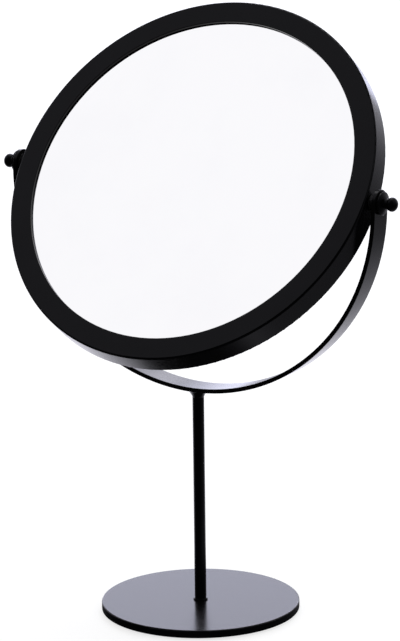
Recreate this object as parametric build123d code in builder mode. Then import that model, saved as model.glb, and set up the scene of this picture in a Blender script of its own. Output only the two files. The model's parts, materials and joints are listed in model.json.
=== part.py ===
from build123d import *

import os
from math import asin, cos, degrees, radians, sin, sqrt

os.makedirs("parts", exist_ok=True)

# A round swivel table mirror. The head, a glass in a round steel frame, turns between the two
# legs of a U-shaped flat-steel yoke, on a thin rod and a round base plate.
# Millimetres. X runs along the pivot axis, -Y is the front and +Z is up. The origin is the
# middle of the base's underside, on the table top.

# ---- Driving dimensions ----

# The head's pose, the height of its pivots above the table, and how far its middle hangs below
# them, measured along the mirror's face
head_tilt = 38.0
pivot_height = 298.0
head_drop = 1.0

# Round frame: an L section, with a flat front face and a side wall
frame_radius = 133.0
frame_depth = 18.0
wall_thickness = 2.0
bezel_width = 15.3
bezel_thickness = 1.8
outer_edge_radius = 1.2
inner_edge_radius = 0.4

# What the frame holds, from the front to the back
gasket_thickness = 0.4
gasket_setback = 1.5
glass_thickness = 2.0
glass_clearance = 1.5
glass_edge_chamfer = 0.4
packing_width = 48.0
packing_clearance = 4.0
cover_thickness = 2.0
cover_recess = 1.2
cover_clearance = 0.5
cover_edge_radius = 0.5

# Angle tabs inside the wall, and the screws that hold the cover to them
tab_count = 6
tab_thickness = 1.5
tab_reach = 11.0
tab_height = 7.5
tab_width = 12.0
tab_screw_inset = 5.5
cover_screw_radius = 1.5
cover_screw_head_radius = 2.8
cover_screw_length = 6.5
cover_screw_clearance = 0.1
head_sink = 0.15

# Pivot screws, their washers and the round nuts that clamp them to the frame's wall
pivot_screw_radius = 2.5
running_clearance = 0.05
wall_hole_clearance = 0.25
screw_head_radius = 4.4
screw_head_height = 2.6
screw_head_edge = 0.6
lock_washer_radius = 4.6
lock_washer_thickness = 1.0
side_gap = 3.8
spacer_nut_radius = 5.5
spacer_nut_edge = 0.3

# Shouldered bushes in the yoke's holes, which are spot-faced for them, and the washers under
# the knobs
bush_wall = 1.0
bush_flange_radius = 6.0
bush_flange_thickness = 0.8
bush_clearance = 0.03
spot_face_depth = 0.2
spot_face_clearance = 0.2
axial_play = 0.1
knob_washer_radius = 6.5
knob_washer_thickness = 0.5
knob_play = 0.05

# Turned thumb nut: a domed flange, a neck and a slightly flattened ball
knob_flange_radius = 7.7
knob_rim_thickness = 1.2
knob_dome_height = 1.8
knob_rim_edge = 0.35
knob_neck_radius = 3.5
knob_ball_radius = 4.75
knob_ball_half_length = 3.7
knob_ball_offset = 7.5
knob_bore_end_gap = 0.6
screw_engagement = 5.5

# Yoke: flat strip bent to a half circle below the pivots, with short straight legs
yoke_drop = 3.1
yoke_width = 18.0
yoke_thickness = 3.0
yoke_edge_radius = 0.5

# Stem, its weld under the yoke and its screwed foot
stem_radius = 4.0
stem_edge = 0.3
weld_leg = 2.3
weld_height = 4.8
weld_toe = 0.4
foot_washer_radius = 4.9
foot_washer_thickness = 1.2
foot_washer_edge = 0.4
stem_screw_radius = 2.5
stem_screw_head_radius = 4.8
stem_screw_length = 17.0
stem_screw_clearance = 0.1
thread_end_gap = 2.0

# Base plate and the thin pad under it
base_radius = 67.5
base_thickness = 5.4
base_top_edge = 0.8
base_bottom_edge = 0.5
pad_thickness = 1.0
pad_inset = 3.5
pad_edge = 0.3

COUNTERSINK_ANGLE = 90.0

# ---- Planes and axes ----

pivot_centre = Vector(0, 0, pivot_height)
mirror_normal = Vector(0, -cos(radians(head_tilt)), sin(radians(head_tilt)))
mirror_up = Vector(0, sin(radians(head_tilt)), cos(radians(head_tilt)))
head_centre = pivot_centre - mirror_up * head_drop
pivot_axis = Axis(pivot_centre, (1, 0, 0))
head_axis = Axis(head_centre, mirror_normal)
head_plane = Plane(head_centre, x_dir=(1, 0, 0), z_dir=mirror_normal)


def head_section(angle=0.0):
    """A plane through the head's axis: x runs outwards at this angle, y towards the front."""
    outwards = Vector(1, 0, 0).rotate(Axis((0, 0, 0), mirror_normal), angle)
    return Plane(head_centre, x_dir=outwards, z_dir=outwards.cross(mirror_normal))


def pivot_section(side):
    """A plane through the pivot axis: x runs outwards on this side, y is up."""
    return Plane(pivot_centre, x_dir=(side, 0, 0), z_dir=(0, -side, 0))


# ---- Places along the head's axis, from the frame's mid-depth towards the front ----

front_face = frame_depth / 2
back_edge = -frame_depth / 2
bezel_back = front_face - bezel_thickness
glass_front = bezel_back - gasket_thickness
glass_back = glass_front - glass_thickness
cover_back = back_edge + cover_recess
cover_front = cover_back + cover_thickness

# ---- Radii in the head ----

opening_radius = frame_radius - bezel_width
wall_inner_radius = frame_radius - wall_thickness
glass_radius = wall_inner_radius - glass_clearance
tab_inner_radius = wall_inner_radius - tab_reach
packing_radius = tab_inner_radius - packing_clearance
tab_screw_circle = wall_inner_radius - tab_screw_inset
tab_first_angle = 180 / tab_count

# ---- Places along the pivot axis, from the middle outwards ----

lock_washer_outer = sqrt(wall_inner_radius**2 - (lock_washer_radius + head_drop) ** 2)
lock_washer_inner = lock_washer_outer - lock_washer_thickness
screw_head_inner = lock_washer_inner - screw_head_height
yoke_inner = frame_radius + side_gap
yoke_outer = yoke_inner + yoke_thickness
bush_seat = yoke_inner + spot_face_depth
bush_flange_inner = bush_seat - bush_flange_thickness
spacer_nut_outer = bush_flange_inner - axial_play
knob_washer_inner = yoke_outer + knob_play
knob_inner = knob_washer_inner + knob_washer_thickness
screw_end = knob_inner + screw_engagement
knob_bore_end = screw_end + knob_bore_end_gap
knob_ball_centre = knob_inner + knob_ball_offset

pivot_bore_radius = pivot_screw_radius + running_clearance
bush_radius = pivot_bore_radius + bush_wall

# ---- Heights in the stand ----

base_bottom = pad_thickness
base_top = base_bottom + base_thickness
stem_bottom = base_top + foot_washer_thickness
arc_centre_height = pivot_height - yoke_drop
yoke_underside = arc_centre_height - yoke_outer
arc_axis_plane = Plane((0, 0, arc_centre_height), z_dir=(0, 1, 0))


def save(piece, node):
    """Labels a finished piece and writes its file."""
    piece.part.label = node
    export_step(piece.part, f"parts/{node}.step")


def washer(side, inner, thickness, radius, bore_radius, edge=0.0):
    """A flat ring round the pivot axis, from this distance outwards."""
    with BuildPart() as ring:
        with BuildSketch(pivot_section(side)):
            with BuildLine():
                Polyline(
                    (inner, bore_radius),
                    (inner, radius),
                    (inner + thickness, radius),
                    (inner + thickness, bore_radius),
                    close=True,
                )
            make_face()
        revolve(axis=pivot_axis)
        if edge:
            rim = ring.edges().filter_by(GeomType.CIRCLE).sort_by(SortBy.RADIUS)[-2:]
            chamfer(rim, edge)
    return ring


# ---- Base ----

with BuildPart() as base_plate:
    with BuildSketch(Plane.XY.offset(base_bottom)):
        Circle(base_radius)
    extrude(amount=base_thickness)
    fillet(base_plate.faces().sort_by(Axis.Z)[-1].edges(), base_top_edge)
    fillet(base_plate.faces().sort_by(Axis.Z)[0].edges(), base_bottom_edge)
    with Locations(Plane((0, 0, base_bottom), z_dir=(0, 0, -1))):
        CounterSinkHole(
            stem_screw_radius + stem_screw_clearance,
            stem_screw_head_radius + stem_screw_clearance + head_sink,
            counter_sink_angle=COUNTERSINK_ANGLE,
        )
save(base_plate, "base_plate")

with BuildPart() as base_pad:
    with BuildSketch():
        Circle(base_radius - pad_inset)
    extrude(amount=pad_thickness)
    fillet(base_pad.faces().sort_by(Axis.Z)[0].edges(), pad_edge)
save(base_pad, "base_pad")

# ---- Stem, with its washer, screw and weld ----

with BuildPart() as foot_washer:
    with BuildSketch(Plane.XY.offset(base_top)):
        Circle(foot_washer_radius)
        Circle(stem_screw_radius + stem_screw_clearance, mode=Mode.SUBTRACT)
    extrude(amount=foot_washer_thickness)
    top_rim = foot_washer.faces().sort_by(Axis.Z)[-1].edges().sort_by(SortBy.RADIUS)[-1]
    fillet(top_rim, foot_washer_edge)
save(foot_washer, "foot_washer")

screw_head_face = base_bottom + head_sink
screw_tip = screw_head_face + stem_screw_length
with BuildPart() as stem:
    with BuildSketch(Plane.XY.offset(stem_bottom)):
        Circle(stem_radius)
    extrude(amount=yoke_underside - stem_bottom)
    chamfer(stem.faces().sort_by(Axis.Z)[0].edges(), stem_edge)
    with Locations(Plane((0, 0, stem_bottom), z_dir=(0, 0, -1))):
        Hole(
            stem_screw_radius + running_clearance,
            depth=screw_tip + thread_end_gap - stem_bottom,
        )
save(stem, "stem")

with BuildPart() as stem_screw:
    with BuildSketch(Plane.XZ):
        with BuildLine():
            head_height = stem_screw_head_radius - stem_screw_radius
            Polyline(
                (0, screw_head_face),
                (stem_screw_head_radius, screw_head_face),
                (stem_screw_radius, screw_head_face + head_height),
                (stem_screw_radius, screw_tip),
                (0, screw_tip),
                close=True,
            )
        make_face()
    revolve(axis=Axis.Z)
save(stem_screw, "stem_screw")

with BuildPart() as stem_weld:
    with BuildSketch(Plane.XZ):
        with BuildLine():
            toe_height = yoke_underside - weld_toe
            foot_height = yoke_underside - weld_height
            toe_radius = stem_radius + weld_leg
            Polyline(
                (stem_radius, foot_height),
                (stem_radius, yoke_underside + weld_toe),
                (toe_radius, yoke_underside + weld_toe),
                (toe_radius, toe_height),
            )
            TangentArc(
                (stem_radius, foot_height),
                (toe_radius, toe_height),
                tangent=(0, 1),
            )
        make_face()
    revolve(axis=Axis.Z)
    with Locations(arc_axis_plane):
        Cylinder(yoke_outer, yoke_width, mode=Mode.SUBTRACT)
save(stem_weld, "stem_weld")

# ---- Yoke and its bushes ----

with BuildPart() as yoke:
    with BuildSketch(arc_axis_plane):
        Circle(yoke_outer)
        Circle(yoke_inner, mode=Mode.SUBTRACT)
    extrude(amount=yoke_width / 2, both=True)
    split(bisect_by=Plane.XY.offset(arc_centre_height), keep=Keep.BOTTOM)
    for side in (-1, 1):
        leg_inner = min(side * yoke_inner, side * yoke_outer)
        with BuildSketch(Plane.YZ.offset(leg_inner)):
            with BuildLine():
                Polyline(
                    (-yoke_width / 2, pivot_height),
                    (-yoke_width / 2, arc_centre_height),
                    (yoke_width / 2, arc_centre_height),
                    (yoke_width / 2, pivot_height),
                )
                ThreePointArc(
                    (yoke_width / 2, pivot_height),
                    (0, pivot_height + yoke_width / 2),
                    (-yoke_width / 2, pivot_height),
                )
            make_face()
        extrude(amount=yoke_thickness)
    outline = yoke.edges().filter_by(Axis.X, reverse=True).filter_by(Axis.Y, reverse=True)
    fillet(outline, yoke_edge_radius)
    with Locations(Plane(pivot_centre, z_dir=(1, 0, 0))):
        Hole(bush_radius + bush_clearance)
        Cylinder(
            bush_flange_radius + spot_face_clearance,
            2 * bush_seat,
            mode=Mode.SUBTRACT,
        )
save(yoke, "yoke")


def yoke_bush(side):
    """A plastic sleeve through the yoke's hole, with its flange towards the frame."""
    with BuildPart() as bush:
        with BuildSketch(pivot_section(side)):
            with BuildLine():
                Polyline(
                    (bush_flange_inner, pivot_bore_radius),
                    (bush_flange_inner, bush_flange_radius),
                    (bush_seat, bush_flange_radius),
                    (bush_seat, bush_radius),
                    (yoke_outer, bush_radius),
                    (yoke_outer, pivot_bore_radius),
                    close=True,
                )
            make_face()
        revolve(axis=pivot_axis)
    return bush


# ---- Frame ----

with BuildPart() as mirror_frame:
    with BuildSketch(head_section()) as frame_profile:
        with BuildLine():
            Polyline(
                (opening_radius, bezel_back),
                (opening_radius, front_face),
                (frame_radius, front_face),
                (frame_radius, back_edge),
                (wall_inner_radius, back_edge),
                (wall_inner_radius, bezel_back),
                close=True,
            )
        make_face()
        fillet(frame_profile.vertices().group_by(Axis.X)[-1], outer_edge_radius)
        opening_corners = frame_profile.vertices().group_by(Axis.X)[0]
        fillet(opening_corners.sort_by(Axis.Y)[-1], inner_edge_radius)
    revolve(axis=head_axis)
    with Locations(Plane(pivot_centre, z_dir=(1, 0, 0))):
        Hole(pivot_screw_radius + wall_hole_clearance)
save(mirror_frame, "mirror_frame")

# ---- What the frame holds ----

with BuildPart() as glass_gasket:
    with BuildSketch(head_plane.offset(glass_front)):
        Circle(glass_radius)
        Circle(opening_radius + gasket_setback, mode=Mode.SUBTRACT)
    extrude(amount=gasket_thickness)
save(glass_gasket, "glass_gasket")

with BuildPart() as mirror_glass:
    with BuildSketch(head_plane.offset(glass_back)):
        Circle(glass_radius)
    extrude(amount=glass_thickness)
    chamfer(mirror_glass.edges().filter_by(GeomType.CIRCLE), glass_edge_chamfer)
save(mirror_glass, "mirror_glass")

with BuildPart() as packing_ring:
    with BuildSketch(head_plane.offset(cover_front)):
        Circle(packing_radius)
        Circle(packing_radius - packing_width, mode=Mode.SUBTRACT)
    extrude(amount=glass_back - cover_front)
save(packing_ring, "packing_ring")

tab_angles = [tab_first_angle + index * 360 / tab_count for index in range(tab_count)]
tab_arc = degrees(tab_width / wall_inner_radius)
with BuildPart() as cover_tabs:
    for tab_angle in tab_angles:
        with BuildSketch(head_section(tab_angle - tab_arc / 2)):
            with BuildLine():
                Polyline(
                    (tab_inner_radius, cover_front),
                    (wall_inner_radius, cover_front),
                    (wall_inner_radius, cover_front + tab_height),
                    (wall_inner_radius - tab_thickness, cover_front + tab_height),
                    (wall_inner_radius - tab_thickness, cover_front + tab_thickness),
                    (tab_inner_radius, cover_front + tab_thickness),
                    close=True,
                )
            make_face()
        revolve(axis=head_axis, revolution_arc=tab_arc)
    with Locations(head_plane.offset(cover_front)):
        with PolarLocations(tab_screw_circle, tab_count, start_angle=tab_first_angle):
            Hole(cover_screw_radius + cover_screw_clearance, depth=tab_thickness)
save(cover_tabs, "cover_tabs")

cover_plane = Plane(
    head_centre + mirror_normal * cover_back, x_dir=(1, 0, 0), z_dir=-mirror_normal
)
with BuildPart() as back_cover:
    with BuildSketch(cover_plane):
        Circle(wall_inner_radius - cover_clearance)
    extrude(amount=-cover_thickness)
    outer_rim = back_cover.faces().filter_by(GeomType.PLANE).sort_by(head_axis)[0].edges()
    fillet(outer_rim, cover_edge_radius)
    with Locations(cover_plane):
        with PolarLocations(tab_screw_circle, tab_count, start_angle=tab_first_angle):
            CounterSinkHole(
                cover_screw_radius + cover_screw_clearance,
                cover_screw_head_radius + cover_screw_clearance + head_sink,
                counter_sink_angle=COUNTERSINK_ANGLE,
            )
save(back_cover, "back_cover")

with BuildPart() as cover_screws:
    with Locations(cover_plane.offset(-head_sink)):
        with PolarLocations(tab_screw_circle, tab_count, start_angle=tab_first_angle):
            Cone(
                cover_screw_radius,
                cover_screw_head_radius,
                cover_screw_head_radius - cover_screw_radius,
                align=(Align.CENTER, Align.CENTER, Align.MAX),
            )
            Cylinder(
                cover_screw_radius,
                cover_screw_length,
                align=(Align.CENTER, Align.CENTER, Align.MAX),
            )
save(cover_screws, "cover_screws")

# ---- Pivots: the same stack of pieces on each side ----


def pivot_screw(side):
    """A screw from inside the frame, with a low chamfered head."""
    with BuildPart() as screw:
        with BuildSketch(pivot_section(side)):
            with BuildLine():
                Polyline(
                    (screw_head_inner, 0),
                    (screw_head_inner, screw_head_radius - screw_head_edge),
                    (screw_head_inner + screw_head_edge, screw_head_radius),
                    (lock_washer_inner, screw_head_radius),
                    (lock_washer_inner, pivot_screw_radius),
                    (screw_end, pivot_screw_radius),
                    (screw_end, 0),
                    close=True,
                )
            make_face()
        revolve(axis=pivot_axis)
    return screw


def knob(side):
    """A thumb nut with a blind bore: a domed flange, a neck and a flattened ball."""
    rim_end = knob_inner + knob_rim_thickness
    dome_end = rim_end + knob_dome_height
    ball_end = knob_ball_centre + knob_ball_half_length
    neck_angle = 180 - degrees(asin(knob_neck_radius / knob_ball_radius))
    neck_end = knob_ball_centre + knob_ball_half_length * cos(radians(neck_angle))
    with BuildPart() as nut:
        with BuildSketch(pivot_section(side)):
            with BuildLine():
                Polyline(
                    (ball_end, 0),
                    (knob_bore_end, 0),
                    (knob_bore_end, pivot_bore_radius),
                    (knob_inner, pivot_bore_radius),
                    (knob_inner, knob_flange_radius - knob_rim_edge),
                    (knob_inner + knob_rim_edge, knob_flange_radius),
                    (rim_end, knob_flange_radius),
                    (rim_end + knob_rim_edge, knob_flange_radius - knob_rim_edge),
                    (dome_end, knob_neck_radius),
                    (neck_end, knob_neck_radius),
                )
                EllipticalCenterArc(
                    (knob_ball_centre, 0),
                    knob_ball_half_length,
                    knob_ball_radius,
                    start_angle=0,
                    arc_size=neck_angle,
                )
            make_face()
        revolve(axis=pivot_axis)
    return nut


for side, hand in ((-1, "left"), (1, "right")):
    save(pivot_screw(side), f"pivot_screw_{hand}")
    save(
        washer(
            side,
            lock_washer_inner,
            lock_washer_thickness,
            lock_washer_radius,
            pivot_screw_radius + wall_hole_clearance,
        ),
        f"lock_washer_{hand}",
    )
    save(
        washer(
            side,
            frame_radius,
            spacer_nut_outer - frame_radius,
            spacer_nut_radius,
            pivot_bore_radius,
            spacer_nut_edge,
        ),
        f"spacer_nut_{hand}",
    )
    save(yoke_bush(side), f"yoke_bush_{hand}")
    save(
        washer(
            side,
            knob_washer_inner,
            knob_washer_thickness,
            knob_washer_radius,
            pivot_bore_radius,
        ),
        f"knob_washer_{hand}",
    )
    save(knob(side), f"knob_{hand}")
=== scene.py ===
"""Looks, small details, studio and camera for the swivel table mirror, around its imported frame."""

import json
import math

import bpy
from mathutils import Matrix, Vector


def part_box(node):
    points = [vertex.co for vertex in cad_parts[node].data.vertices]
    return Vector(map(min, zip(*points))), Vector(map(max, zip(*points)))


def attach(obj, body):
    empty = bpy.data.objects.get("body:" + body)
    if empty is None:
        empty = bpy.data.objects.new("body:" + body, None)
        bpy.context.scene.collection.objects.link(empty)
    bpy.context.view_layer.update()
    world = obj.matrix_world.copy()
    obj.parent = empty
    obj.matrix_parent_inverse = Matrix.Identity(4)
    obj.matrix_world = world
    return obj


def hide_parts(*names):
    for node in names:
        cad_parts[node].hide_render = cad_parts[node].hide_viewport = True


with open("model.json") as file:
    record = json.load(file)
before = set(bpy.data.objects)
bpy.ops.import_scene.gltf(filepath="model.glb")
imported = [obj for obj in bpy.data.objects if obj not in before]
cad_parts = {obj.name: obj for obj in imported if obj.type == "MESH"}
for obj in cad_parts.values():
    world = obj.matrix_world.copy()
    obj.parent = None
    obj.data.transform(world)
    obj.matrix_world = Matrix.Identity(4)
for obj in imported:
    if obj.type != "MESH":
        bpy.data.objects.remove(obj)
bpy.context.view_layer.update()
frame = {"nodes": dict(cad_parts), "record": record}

MM = 0.001

# Camera: where it stands round the object, in degrees and metres, its lens in millimetres, and
# the point that it faces, in metres right of the origin and above it
CAMERA_AZIMUTH = 30.856
CAMERA_ELEVATION = 14.342
CAMERA_ROLL = -0.675
CAMERA_DISTANCE = 2.6355
CAMERA_LENS = 220.49
CAMERA_SENSOR = 36.0
CAMERA_REACH = 200.0
AIM_RIGHT = 0.00179
AIM_HEIGHT = 0.20279

# Floor and room, as the lens and matte faces see them
FLOOR_HALF_WIDTH = 40.0
FLOOR_GAP = 0.05 * MM
FLOOR_TONE = 0.35
FLOOR_LIFT = 0.72
ROOM_LIGHT = 0.6

# What satin faces see of the studio. Dark flags stand on the photographer's side, each with its
# direction, the angle it covers, the angle at which it has faded out and its tone.
FLAGS = (
    ((0.49, -0.83, 0.2), 40.0, 68.0, 0.05),
    ((-0.45, -0.87, -0.2), 32.0, 58.0, 0.05),
    ((0.93, 0.25, -0.1), 20.0, 42.0, 0.4),
)
# Tint of what satin faces see, in the room and in the floor's painted glow
SATIN_TINT = (0.955, 0.945, 1.05)

# The floor has a painted pool of light round the object. It is a glow that only satin faces see,
# and it paints a sheen on them: from where to where it begins, in metres from the origin, with its
# share inside that, and from where to where it ends, with its share beyond. The painted glow is
# brighter on one side, between two cosines from that side's direction.
PAINTED_POOL_TONE = 1.3
PAINTED_POOL_START = (0.085, 0.14, 0.08)
PAINTED_POOL_END = (0.30, 0.85, 0.38)
STUDIO_MIDDLE = 0.1
BRIGHT_SIDE = (-0.51, 0.86, 0.0)
BRIGHT_SIDE_COSINES = (0.4, 1.0)
BRIGHT_SIDE_TONES = (0.65, 1.15)

# What the coated finishes share. Their clouds and their changes in gloss are in cells per metre.
# The speckle and the peel are in shares of the grain, and the fine grain's depth is in shares of
# the peel's. The wear is a band along the edges, where the rounded normal leans away.
CLOUD_SCALE = 38.0
GLOSS_SCALE = 160.0
SPECKLE_SCALE = 2.3
SPECKLE_SHARE = 0.5
PEEL_SCALE = 0.35
FINE_DEPTH = 0.35
WEAR_WIDTH = 0.4 * MM
WEAR_COSINES = (0.99, 0.80)

# Coated finishes: two close tones, the worn tone, the range of roughness, the grain in cells per
# metre and its depth, the index of refraction and the weight of the clear coat
COATED_FINISHES = {
    "powder_coat": ((0.0011, 0.0011, 0.0014), (0.0018, 0.0018, 0.0022), (0.007, 0.007, 0.008),
                    (0.20, 0.26), 2600.0, 0.004 * MM, 1.13, 1.0),
    "knob_steel": ((0.0012, 0.0012, 0.0015), (0.0018, 0.0018, 0.0022), (0.007, 0.007, 0.008),
                   (0.20, 0.27), 3400.0, 0.006 * MM, 1.13, 0.3),
    "black_steel": ((0.004, 0.004, 0.0045), (0.007, 0.007, 0.0075), (0.03, 0.03, 0.031),
                    (0.28, 0.40), 4000.0, 0.006 * MM, 1.35, 0.0),
    "gasket_rubber": ((0.008, 0.008, 0.008), (0.012, 0.012, 0.012), (0.02, 0.02, 0.02),
                      (0.7, 0.82), 3000.0, 0.02 * MM, 1.45, 0.0),
    "pad_foam": ((0.014, 0.014, 0.014), (0.024, 0.024, 0.024), (0.035, 0.035, 0.035),
                 (0.85, 0.95), 1500.0, 0.12 * MM, 1.4, 0.0),
    "cover_plastic": ((0.011, 0.011, 0.012), (0.016, 0.016, 0.017), (0.03, 0.03, 0.031),
                      (0.46, 0.56), 1100.0, 0.035 * MM, 1.46, 0.0),
    "nylon": ((0.005, 0.005, 0.0055), (0.008, 0.008, 0.0085), (0.02, 0.02, 0.02),
              (0.38, 0.48), 2200.0, 0.01 * MM, 1.4, 0.0),
}

# Plated steel: its tone and its stain, the range of roughness, the scale of its stain, of its
# gloss and of its marks in cells per metre, and the marks' depth
ZINC_FINISH = ((0.60, 0.61, 0.63), (0.50, 0.50, 0.50), (0.22, 0.36),
               260.0, 700.0, 1800.0, 0.008 * MM)

# Corrugated card: its two tones, the scale of its fibres, of its flutes and of its grain in cells
# per metre, and the depths of the flutes and of the grain
CARD_FINISH = ((0.36, 0.24, 0.135), (0.47, 0.33, 0.2), 900.0, 45.0, 2500.0, 0.15 * MM, 0.03 * MM)

# Mirror: the glass's clear tone and a faintly darker lavender one, whose clouds paint an uneven
# tint into the reflection, and those clouds in cells per metre
MIRROR_FINISH = ((0.955, 0.95, 0.975), (0.935, 0.93, 0.96), 14.0)

# Driver's cross in each cover screw. The screws face straight back on a head that leans by so
# many degrees, and points nearer to one another than the reach are on the same screw. A screw's
# top is a thin layer of such points. Then come the cross's length from its middle, half an arm's
# width in shares of that, its depth, how far its cutter starts above the top, and its size at the
# bottom in shares of its size at the top.
HEAD_TILT = 38.0
SCREW_REACH = 12.0 * MM
SCREW_TOP_LAYER = 0.02 * MM
DRIVE_REACH = 1.45 * MM
DRIVE_ARM = 0.18
DRIVE_DEPTH = 1.2 * MM
DRIVE_START = 0.1 * MM
DRIVE_TAPER = 0.5

# Weld flare between the stem and the yoke: the radius of its foot, how much wider its top is, its
# height, the power of the curve between them, and how far it goes up into the yoke
WELD_FOOT_RADIUS = 3.98 * MM
WELD_LEG = 4.2 * MM
WELD_HEIGHT = 5.9 * MM
WELD_CURVE = 1.5
WELD_OVERLAP = 0.3 * MM
WELD_RINGS = 14
WELD_TURNS = 64

# Softboxes: place, the point each one faces, width, height, watts and tint
SOFTBOXES = {
    "top_light": ((-0.2, 0.8, 2.5), (0.0, 0.0, 0.25), 1.8, 1.4, 22.0, (1.0, 1.0, 1.0)),
    "back_light": ((-1.42, 2.24, 0.58), (0.0, 0.0, 0.2), 2.35, 0.96, 13.2, (0.75, 0.775, 1.0)),
    "rim_light": ((-0.98, 1.92, 1.55), (0.0, 0.0, 0.2), 1.4, 1.0, 20.0, (0.88, 0.88, 1.0)),
}


# ---- Shader nodes ----


def feed(tree, socket, value):
    """Links a socket to another socket, or sets its number or colour."""
    if isinstance(value, bpy.types.NodeSocket):
        tree.links.new(value, socket)
    else:
        socket.default_value = value


def make_node(tree, kind, links=None, **settings):
    """A shader node with its settings and its inputs, by their names or places."""
    made = tree.nodes.new(kind)
    for name, value in settings.items():
        setattr(made, name, value)
    for name, value in (links or {}).items():
        feed(tree, made.inputs[name], value)
    return made


def new_material(name):
    """An empty node material, with its tree and its output node."""
    material = bpy.data.materials.new(name)
    material.use_nodes = True
    material.node_tree.nodes.clear()
    output = make_node(material.node_tree, "ShaderNodeOutputMaterial")
    return material, material.node_tree, output


def add_surface(tree, output, links):
    """A principled shader with these inputs, on the material's output."""
    shader = make_node(tree, "ShaderNodeBsdfPrincipled", links)
    tree.links.new(shader.outputs["BSDF"], output.inputs["Surface"])


def noise(tree, scale, detail=3.0, roughness=0.5):
    """A noise pattern in the object's own coordinates, in cells per metre."""
    place = make_node(tree, "ShaderNodeTexCoord").outputs["Object"]
    links = {"Vector": place, "Scale": scale, "Detail": detail, "Roughness": roughness}
    return make_node(tree, "ShaderNodeTexNoise", links).outputs["Fac"]


def remap(tree, value, low, high, to_low, to_high, **settings):
    """value, brought from low...high to to_low...to_high and held there."""
    links = {"Value": value, "From Min": low, "From Max": high,
             "To Min": to_low, "To Max": to_high}
    return make_node(tree, "ShaderNodeMapRange", links, **settings).outputs["Result"]


def ramp(tree, value, low, high, to_low, to_high):
    """remap with soft ends."""
    return remap(tree, value, low, high, to_low, to_high, interpolation_type="SMOOTHSTEP")


def blend_colours(tree, share, first, second):
    """Two colours, the second one by its share."""
    made = make_node(tree, "ShaderNodeMix", {0: share}, data_type="RGBA")
    for place, colour in ((6, first), (7, second)):
        plain = not isinstance(colour, bpy.types.NodeSocket)
        feed(tree, made.inputs[place], (*colour, 1.0) if plain else colour)
    return made.outputs[2]


def product(tree, *values):
    """The values multiplied together. Each is a number or a socket."""
    total = values[0]
    for value in values[1:]:
        links = {0: total, 1: value}
        total = make_node(tree, "ShaderNodeMath", links, operation="MULTIPLY").outputs[0]
    return total


def cosine(tree, first, second):
    """The cosine between two unit vectors."""
    links = {0: first, 1: second}
    return make_node(tree, "ShaderNodeVectorMath", links, operation="DOT_PRODUCT").outputs["Value"]


def edge_share(tree, width):
    """How much a point lies on a sharp edge, from 0 on a face to 1 on the edge."""
    rounded = make_node(tree, "ShaderNodeBevel", {"Radius": width}, samples=4).outputs["Normal"]
    true = make_node(tree, "ShaderNodeNewGeometry").outputs["Normal"]
    return remap(tree, cosine(tree, rounded, true), *WEAR_COSINES, 0.0, 1.0)


def bumped(tree, height, depth, under=None):
    """A normal that follows a height pattern, depth metres deep, on top of another normal."""
    links = {"Height": height, "Distance": depth, "Strength": 1.0}
    if under is not None:
        links["Normal"] = under
    return make_node(tree, "ShaderNodeBump", links).outputs["Normal"]


# ---- Finishes ----


def coated_finish(name, dark, pale, worn, roughness, grain, depth, index, coat):
    """A sprayed or moulded skin: two close tones, a fine grain, and slightly worn edges."""
    material, tree, output = new_material(name)
    clouds = remap(tree, noise(tree, CLOUD_SCALE, 4.0), 0.35, 0.65, 0.0, 1.0)
    tone = blend_colours(tree, clouds, dark, pale)
    speckle = noise(tree, grain * SPECKLE_SCALE, 2.0)
    speckle = remap(tree, speckle, 0.58, 0.72, 0.0, SPECKLE_SHARE)
    tone = blend_colours(tree, speckle, tone, worn)
    tone = blend_colours(tree, edge_share(tree, WEAR_WIDTH), tone, worn)
    gloss = remap(tree, noise(tree, GLOSS_SCALE), 0.3, 0.7, *roughness)
    peel = bumped(tree, noise(tree, grain * PEEL_SCALE, 2.0), depth)
    fine = bumped(tree, noise(tree, grain, 2.0), depth * FINE_DEPTH, under=peel)
    add_surface(tree, output, {
        "Base Color": tone, "Roughness": gloss, "Normal": fine, "IOR": index,
        "Coat Weight": coat, "Coat IOR": index, "Coat Roughness": min(roughness),
    })
    return material


def metal_finish(name, tone, stain, roughness, stain_scale, gloss_scale, mark_scale, depth):
    """Bright metal with a cloudy stain and fine turned or drawn marks."""
    material, tree, output = new_material(name)
    clouds = remap(tree, noise(tree, stain_scale, 4.0), 0.35, 0.7, 0.0, 1.0)
    tone = blend_colours(tree, clouds, tone, stain)
    gloss = remap(tree, noise(tree, gloss_scale), 0.3, 0.7, *roughness)
    marks = bumped(tree, noise(tree, mark_scale), depth)
    add_surface(tree, output, {
        "Base Color": tone, "Roughness": gloss, "Normal": marks, "Metallic": 1.0,
    })
    return material


def mirror_finish(name, clear, painted_tint, painted_tint_scale):
    """Silvered glass whose clouds of a faintly darker lavender paint an uneven tint into the
    reflection.
    It is quite sharp, so it shows the white room.
    """
    material, tree, output = new_material(name)
    # Painted reflection tint: cloudy patches of a faintly darker lavender tone
    painted_tint_share = remap(tree, noise(tree, painted_tint_scale, 5.0, 0.6), 0.45, 0.75, 0.0, 1.0)
    tone = blend_colours(tree, painted_tint_share, clear, painted_tint)
    add_surface(tree, output, {"Base Color": tone, "Roughness": 0.0, "Metallic": 1.0})
    return material


def card_finish(name, dark, pale, fibre_scale, flute_scale, grain, flute_depth, depth):
    """Corrugated card, with its flutes showing faintly through the liner."""
    material, tree, output = new_material(name)
    fibres = remap(tree, noise(tree, fibre_scale, 6.0, 0.7), 0.3, 0.7, 0.0, 1.0)
    tone = blend_colours(tree, fibres, dark, pale)
    place = make_node(tree, "ShaderNodeTexCoord").outputs["Object"]
    links = {"Vector": place, "Scale": flute_scale, "Distortion": 0.4}
    flutes = make_node(tree, "ShaderNodeTexWave", links).outputs["Fac"]
    normal = bumped(tree, flutes, flute_depth)
    normal = bumped(tree, noise(tree, grain, 4.0), depth, under=normal)
    add_surface(tree, output, {"Base Color": tone, "Roughness": 0.9, "Normal": normal})
    return material


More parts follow.
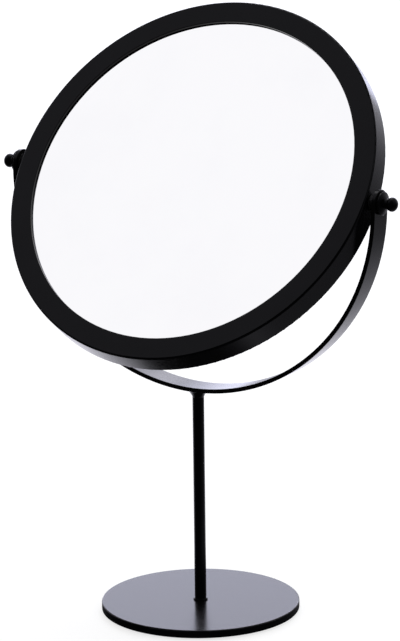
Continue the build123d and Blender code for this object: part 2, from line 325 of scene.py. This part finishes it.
def make_finishes():
    """The object's materials, by the names of the record's slots."""
    made = {name: coated_finish(name, *values) for name, values in COATED_FINISHES.items()}
    made["zinc_steel"] = metal_finish("zinc_steel", *ZINC_FINISH)
    made["mirror"] = mirror_finish("mirror", *MIRROR_FINISH)
    made["packing_card"] = card_finish("packing_card", *CARD_FINISH)
    return made


def dress_nodes(finishes):
    """Every CAD node takes the finish of the slot that the record gives it."""
    slots = {part["node"]: part["material_slot"] for part in frame["record"]["subparts"]}
    for name, piece in frame["nodes"].items():
        piece.data.materials.clear()
        piece.data.materials.append(finishes[slots[name]])


# ---- Small forms ----


def add_object(name, data):
    """An object in the scene."""
    made = bpy.data.objects.new(name, data)
    bpy.context.scene.collection.objects.link(made)
    return made


def add_mesh(name, vertices, faces):
    """A mesh object in the scene."""
    mesh = bpy.data.meshes.new(name)
    mesh.from_pydata(vertices, [], faces)
    return add_object(name, mesh)


def loft(rings):
    """The vertices and faces of a closed solid through rings of points, from the top ring down."""
    count = len(rings[0])
    last = count * (len(rings) - 1)
    faces = []
    for first in range(0, last, count):
        below = first + count
        for turn in range(count):
            after = (turn + 1) % count
            faces.append((first + after, first + turn, below + turn, below + after))
    faces.append(tuple(range(count)))
    faces.append(tuple(reversed(range(last, last + count))))
    return [tuple(point) for ring in rings for point in ring], faces


def make_weld(finish):
    """The weld under the yoke, flared as in the photo, in place of the CAD node's slimmer one."""
    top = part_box("stem_weld")[1].z + WELD_OVERLAP
    rings = []
    for ring in range(WELD_RINGS + 1):
        share = ring / WELD_RINGS
        radius = WELD_FOOT_RADIUS + WELD_LEG * (1.0 - share) ** WELD_CURVE
        angles = [2.0 * math.pi * turn / WELD_TURNS for turn in range(WELD_TURNS)]
        height = top - WELD_HEIGHT * share
        rings.append([(radius * math.cos(a), radius * math.sin(a), height) for a in angles])
    flare = add_mesh("weld_flare", *loft(rings))
    for face in flare.data.polygons:
        face.use_smooth = len(face.vertices) == 4
    flare.data.materials.append(finish)
    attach(flare, "stand")
    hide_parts("stem_weld")


def clusters(points, reach):
    """Points that lie within reach of a group's first point, as lists, one for each group."""
    groups = []
    for point in points:
        near = next((group for group in groups if (group[0] - point).length < reach), None)
        if near:
            near.append(point)
        else:
            groups.append([point])
    return groups


def cut_screw_drives(piece):
    """Cuts a tapered cross for the driver into the head of each screw of a CAD node."""
    tilt = math.radians(HEAD_TILT)
    back = Vector((0.0, math.cos(tilt), -math.sin(tilt)))
    side = Vector((1.0, 0.0, 0.0))
    up = back.cross(side)
    arm = DRIVE_ARM
    quarter = [(1, -arm), (1, arm), (arm, arm)]
    cross = []
    for _ in range(4):
        cross += quarter
        quarter = [(-y, x) for x, y in quarter]
    vertices, faces = [], []
    for group in clusters([piece.matrix_world @ v.co for v in piece.data.vertices], SCREW_REACH):
        top = max(point.dot(back) for point in group)
        rim = [point for point in group if point.dot(back) > top - SCREW_TOP_LAYER]
        centre = sum(rim, Vector()) / len(rim)
        rings = [
            [centre + back * level + (side * x + up * y) * DRIVE_REACH * share for x, y in cross]
            for level, share in ((DRIVE_START, 1.0), (-DRIVE_DEPTH, DRIVE_TAPER))
        ]
        first = len(vertices)
        ring_vertices, ring_faces = loft(rings)
        vertices += ring_vertices
        faces += [tuple(first + place for place in face) for face in ring_faces]
    cutter = add_mesh("screw_drives", vertices, faces)
    cutter.hide_render = cutter.hide_viewport = True
    cut = piece.modifiers.new("drives", "BOOLEAN")
    cut.operation = "DIFFERENCE"
    cut.solver = "EXACT"
    cut.object = cutter


# ---- Studio and camera ----


def flag_shade(tree, direction):
    """How bright the room is in a direction: dark behind each flag, and 1 well away from them."""
    shades = []
    for side, dark_angle, clear_angle, tone in FLAGS:
        clear, dark = math.cos(math.radians(clear_angle)), math.cos(math.radians(dark_angle))
        along = cosine(tree, direction, Vector(side).normalized())
        shades.append(ramp(tree, along, clear, dark, 1.0, tone))
    return product(tree, *shades)


def seen_by_lens(tree):
    """1 for rays from the lens, straight, through glass or off the sharp mirror, and else 0."""
    rays = make_node(tree, "ShaderNodeLightPath").outputs
    seen = rays["Is Camera Ray"]
    for kind in ("Is Transmission Ray", "Is Singular Ray"):
        links = {0: seen, 1: rays[kind]}
        seen = make_node(tree, "ShaderNodeMath", links, operation="MAXIMUM").outputs[0]
    return seen


def seen_in_satin(tree):
    """1 for rays off a face that shines but isn't a sharp mirror, and else 0."""
    rays = make_node(tree, "ShaderNodeLightPath").outputs
    links = {0: rays["Is Glossy Ray"], 1: rays["Is Singular Ray"]}
    rest = make_node(tree, "ShaderNodeMath", links, operation="SUBTRACT", use_clamp=True)
    return rest.outputs[0]


def painted_pool_glow(tree):
    """How bright the painted glow at a point of the floor is to satin faces."""
    place = make_node(tree, "ShaderNodeNewGeometry").outputs["Position"]
    links = {0: place, 1: (0.0, 0.0, STUDIO_MIDDLE)}
    way = make_node(tree, "ShaderNodeVectorMath", links, operation="SUBTRACT").outputs[0]
    turned = make_node(tree, "ShaderNodeVectorMath", {0: way}, operation="NORMALIZE")
    direction = turned.outputs[0]
    length = make_node(tree, "ShaderNodeVectorMath", {0: place}, operation="LENGTH")
    distance = length.outputs["Value"]
    start, lit_from, start_share = PAINTED_POOL_START
    lit_to, end, end_share = PAINTED_POOL_END
    near = ramp(tree, distance, start, lit_from, start_share, 1.0)
    far = ramp(tree, distance, lit_to, end, 1.0, end_share)
    along = cosine(tree, direction, Vector(BRIGHT_SIDE).normalized())
    side = ramp(tree, along, *BRIGHT_SIDE_COSINES, *BRIGHT_SIDE_TONES)
    return product(tree, flag_shade(tree, direction), near, far, side, PAINTED_POOL_TONE)


def make_floor():
    """A pale floor. It is white to the lens, and keeps the object's shadow.
    To satin faces it shows a painted pool of light instead, which paints a sheen on them.
    """
    material, tree, output = new_material("floor")
    white = (FLOOR_TONE, FLOOR_TONE, FLOOR_TONE, 1.0)
    matte = make_node(tree, "ShaderNodeBsdfDiffuse", {"Color": white})
    strength = product(tree, seen_by_lens(tree), FLOOR_LIFT)
    lift = make_node(tree, "ShaderNodeEmission", {"Strength": strength})
    lit = make_node(tree, "ShaderNodeAddShader", {0: matte.outputs[0], 1: lift.outputs[0]})
    # Painted glow: satin faces see the floor glow with a pool of light, brighter than white near the
    # object
    links = {"Color": (*SATIN_TINT, 1.0), "Strength": painted_pool_glow(tree)}
    glow = make_node(tree, "ShaderNodeEmission", links)
    links = {0: seen_in_satin(tree), 1: lit.outputs[0], 2: glow.outputs[0]}
    choice = make_node(tree, "ShaderNodeMixShader", links)
    tree.links.new(choice.outputs[0], output.inputs["Surface"])
    reach = FLOOR_HALF_WIDTH
    corners = [(-reach, -reach, 0), (reach, -reach, 0), (reach, reach, 0), (-reach, reach, 0)]
    floor = add_mesh("floor", corners, [(0, 1, 2, 3)])
    floor.data.materials.append(material)
    floor.location.z = -FLOOR_GAP


def make_room():
    """A room that is white to the lens, has the flags in satin faces, and is plain otherwise."""
    world = bpy.data.worlds.new("room")
    bpy.context.scene.world = world
    world.use_nodes = True
    tree = world.node_tree
    tree.nodes.clear()
    direction = make_node(tree, "ShaderNodeTexCoord").outputs["Generated"]
    plain = remap(tree, seen_by_lens(tree), 0.0, 1.0, ROOM_LIGHT, 1.0)
    links = {0: seen_in_satin(tree), 2: plain, 3: flag_shade(tree, direction)}
    level = make_node(tree, "ShaderNodeMix", links, data_type="FLOAT").outputs[0]
    tint = blend_colours(tree, seen_in_satin(tree), (1.0, 1.0, 1.0), SATIN_TINT)
    glow = make_node(tree, "ShaderNodeBackground", {"Color": tint, "Strength": level})
    output = make_node(tree, "ShaderNodeOutputWorld")
    tree.links.new(glow.outputs[0], output.inputs["Surface"])


def softbox(name, place, aim, width, height, power, tint):
    """A soft rectangular lamp at place that faces aim."""
    lamp = bpy.data.lights.new(name, "AREA")
    lamp.shape = "RECTANGLE"
    lamp.size, lamp.size_y = width, height
    lamp.energy = power
    lamp.color = tint
    holder = add_object(name, lamp)
    holder.location = place
    holder.rotation_mode = "QUATERNION"
    holder.rotation_quaternion = (Vector(aim) - Vector(place)).to_track_quat("-Z", "Y")
    holder.visible_camera = False


def make_camera():
    """The camera at the photograph's viewing angle."""
    turn, rise = math.radians(CAMERA_AZIMUTH), math.radians(CAMERA_ELEVATION)
    across = math.cos(rise)
    back = Vector((math.sin(turn) * across, -math.cos(turn) * across, math.sin(rise)))
    right = Vector((math.cos(turn), math.sin(turn), 0.0))
    target = right * AIM_RIGHT + Vector((0.0, 0.0, AIM_HEIGHT))
    right = Matrix.Rotation(math.radians(CAMERA_ROLL), 3, back) @ right
    facing = Matrix((right, back.cross(right), back)).transposed().to_4x4()
    camera = bpy.data.cameras.new("camera")
    camera.lens = CAMERA_LENS
    camera.sensor_width = CAMERA_SENSOR
    camera.clip_end = CAMERA_REACH
    holder = add_object("camera", camera)
    holder.matrix_world = Matrix.Translation(target + back * CAMERA_DISTANCE) @ facing
    bpy.context.scene.camera = holder


finishes = make_finishes()
dress_nodes(finishes)
make_weld(finishes["powder_coat"])
cut_screw_drives(frame["nodes"]["cover_screws"])
make_floor()
make_room()
for name, values in SOFTBOXES.items():
    softbox(name, *values)
make_camera()
bpy.context.scene.view_settings.view_transform = "Standard"
